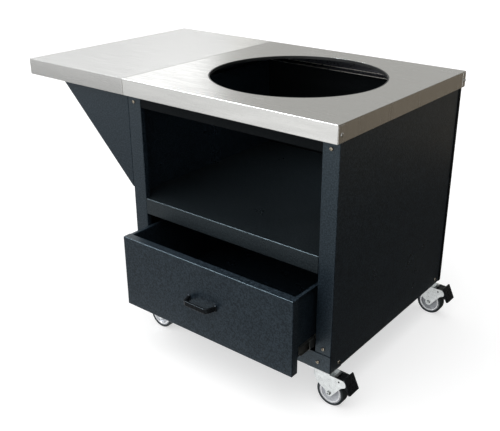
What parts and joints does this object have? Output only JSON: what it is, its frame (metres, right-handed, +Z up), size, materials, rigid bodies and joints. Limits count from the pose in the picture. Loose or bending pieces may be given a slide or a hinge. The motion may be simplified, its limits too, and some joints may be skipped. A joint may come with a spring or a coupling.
{
  "type": "kamado grill table",
  "caption": "Rolling kamado grill table: folded steel cabinet, stainless top with a round grill hole, stainless side shelf on gussets, drawer on slides, braked swivel casters.",
  "frame": {"origin": "on the floor, under the middle of the whole table's bounding box at rest", "axes": "+X to the right, away from the side shelf; +Y from the drawer to the back; +Z up"},
  "size_m": [1.254, 0.855, 0.838],
  "materials": {
    "brushed_stainless": "fine satin grain",
    "powder_coat": "blue-grey orange-peel powder coat",
    "black_sheet": "flat near-black coat",
    "zinc_plate": "dull zinc plating",
    "rivet_stainless": "satin",
    "trim_rubber": "matte black",
    "handle_plastic": "satin black",
    "caster_zinc": "bright zinc plating",
    "pedal_plastic": "satin black",
    "rim_plastic": "light grey moulded",
    "tread": "grey thermoplastic rubber"
  },
  "bodies": {
    "cabinet": {"left_side_panel": "black_sheet", "left_top_rail": "powder_coat", "left_slide_support": "zinc_plate", "right_side_panel": "black_sheet", "right_top_rail": "powder_coat", "right_slide_support": "zinc_plate", "back_panel": "black_sheet", "base_tray": "powder_coat", "middle_shelf": "powder_coat", "front_top_rail": "powder_coat", "rear_top_rail": "powder_coat", "main_top": "brushed_stainless", "hole_trim": "trim_rubber", "side_shelf_top": "brushed_stainless", "front_shelf_gusset": "powder_coat", "rear_shelf_gusset": "powder_coat", "left_slide_cabinet_member": "zinc_plate", "right_slide_cabinet_member": "zinc_plate", "front_left_caster_plate": "caster_zinc", "front_right_caster_plate": "caster_zinc", "rear_left_caster_plate": "caster_zinc", "rear_right_caster_plate": "caster_zinc", "left_post_top_bolt": "zinc_plate", "left_post_foot_bolt": "zinc_plate", "left_base_rail_bolt": "zinc_plate", "right_post_top_bolt": "zinc_plate", "right_post_foot_bolt": "zinc_plate", "right_base_rail_bolt": "zinc_plate", "front_side_bolt": "zinc_plate", "rear_side_bolt": "zinc_plate", "front_apron_rivet": "rivet_stainless", "rear_apron_rivet": "rivet_stainless"},
    "drawer": {"drawer_front": "powder_coat", "drawer_box": "powder_coat", "drawer_handle": "handle_plastic", "left_slide_drawer_member": "zinc_plate", "right_slide_drawer_member": "zinc_plate"},
    "left_slide_middle": {"left_slide_middle_member": "zinc_plate"},
    "right_slide_middle": {"right_slide_middle_member": "zinc_plate"},
    "front_left_swivel": {"front_left_caster_fork": "caster_zinc", "front_left_caster_axle": "caster_zinc"},
    "front_left_wheel": {"front_left_wheel_rim": "rim_plastic", "front_left_tyre": "tread"},
    "front_left_brake": {"front_left_brake_pedal": "pedal_plastic"},
    "front_right_swivel": {"front_right_caster_fork": "caster_zinc", "front_right_caster_axle": "caster_zinc"},
    "front_right_wheel": {"front_right_wheel_rim": "rim_plastic", "front_right_tyre": "tread"},
    "front_right_brake": {"front_right_brake_pedal": "pedal_plastic"},
    "rear_left_swivel": {"rear_left_caster_fork": "caster_zinc", "rear_left_caster_axle": "caster_zinc"},
    "rear_left_wheel": {"rear_left_wheel_rim": "rim_plastic", "rear_left_tyre": "tread"},
    "rear_left_brake": {"rear_left_brake_pedal": "pedal_plastic"},
    "rear_right_swivel": {"rear_right_caster_fork": "caster_zinc", "rear_right_caster_axle": "caster_zinc"},
    "rear_right_wheel": {"rear_right_wheel_rim": "rim_plastic", "rear_right_tyre": "tread"},
    "rear_right_brake": {"rear_right_brake_pedal": "pedal_plastic"}
  },
  "joints": [
    {"name": "drawer_slide", "type": "slide", "parent": "cabinet", "child": "drawer", "axis": [0, -1, 0], "range_m": [-0.078, 0.42]},
    {"name": "left_slide_extend", "type": "slide", "parent": "cabinet", "child": "left_slide_middle", "axis": [0, -1, 0], "range_m": [-0.039, 0.21]},
    {"name": "right_slide_extend", "type": "slide", "parent": "cabinet", "child": "right_slide_middle", "axis": [0, -1, 0], "range_m": [-0.039, 0.21]},
    {"name": "front_left_swivel_turn", "type": "hinge", "parent": "cabinet", "child": "front_left_swivel", "pos_m": [-0.147, -0.2555, 0.1], "axis": [0, 0, 1], "continuous": true},
    {"name": "front_left_wheel_spin", "type": "hinge", "parent": "front_left_swivel", "child": "front_left_wheel", "pos_m": [-0.116, -0.2555, 0.044], "axis": [0, 1, 0], "continuous": true},
    {"name": "front_left_brake_press", "type": "hinge", "parent": "front_left_swivel", "child": "front_left_brake", "pos_m": [-0.085, -0.2555, 0.094], "axis": [0, 1, 0], "range_deg": [0, 8]},
    {"name": "front_right_swivel_turn", "type": "hinge", "parent": "cabinet", "child": "front_right_swivel", "pos_m": [0.523, -0.2555, 0.1], "axis": [0, 0, 1], "continuous": true},
    {"name": "front_right_wheel_spin", "type": "hinge", "parent": "front_right_swivel", "child": "front_right_wheel", "pos_m": [0.554, -0.2555, 0.044], "axis": [0, 1, 0], "continuous": true},
    {"name": "front_right_brake_press", "type": "hinge", "parent": "front_right_swivel", "child": "front_right_brake", "pos_m": [0.585, -0.2555, 0.094], "axis": [0, 1, 0], "range_deg": [0, 8]},
    {"name": "rear_left_swivel_turn", "type": "hinge", "parent": "cabinet", "child": "rear_left_swivel", "pos_m": [-0.1422, 0.3779, 0.1], "axis": [0, 0, 1], "continuous": true},
    {"name": "rear_left_wheel_spin", "type": "hinge", "parent": "rear_left_swivel", "child": "rear_left_wheel", "pos_m": [-0.1112, 0.3779, 0.044], "axis": [0, 1, 0], "continuous": true},
    {"name": "rear_left_brake_press", "type": "hinge", "parent": "rear_left_swivel", "child": "rear_left_brake", "pos_m": [-0.0802, 0.3779, 0.094], "axis": [0, 1, 0], "range_deg": [0, 8]},
    {"name": "rear_right_swivel_turn", "type": "hinge", "parent": "cabinet", "child": "rear_right_swivel", "pos_m": [0.5182, 0.3779, 0.1], "axis": [0, 0, 1], "continuous": true},
    {"name": "rear_right_wheel_spin", "type": "hinge", "parent": "rear_right_swivel", "child": "rear_right_wheel", "pos_m": [0.5492, 0.3779, 0.044], "axis": [0, 1, 0], "continuous": true},
    {"name": "rear_right_brake_press", "type": "hinge", "parent": "rear_right_swivel", "child": "rear_right_brake", "pos_m": [0.5802, 0.3779, 0.094], "axis": [0, 1, 0], "range_deg": [0, 8]}
  ],
  "couplings": [
    {"joint": "left_slide_extend", "follows": "drawer_slide", "ratio": 0.5},
    {"joint": "right_slide_extend", "follows": "drawer_slide", "ratio": 0.5}
  ]
}
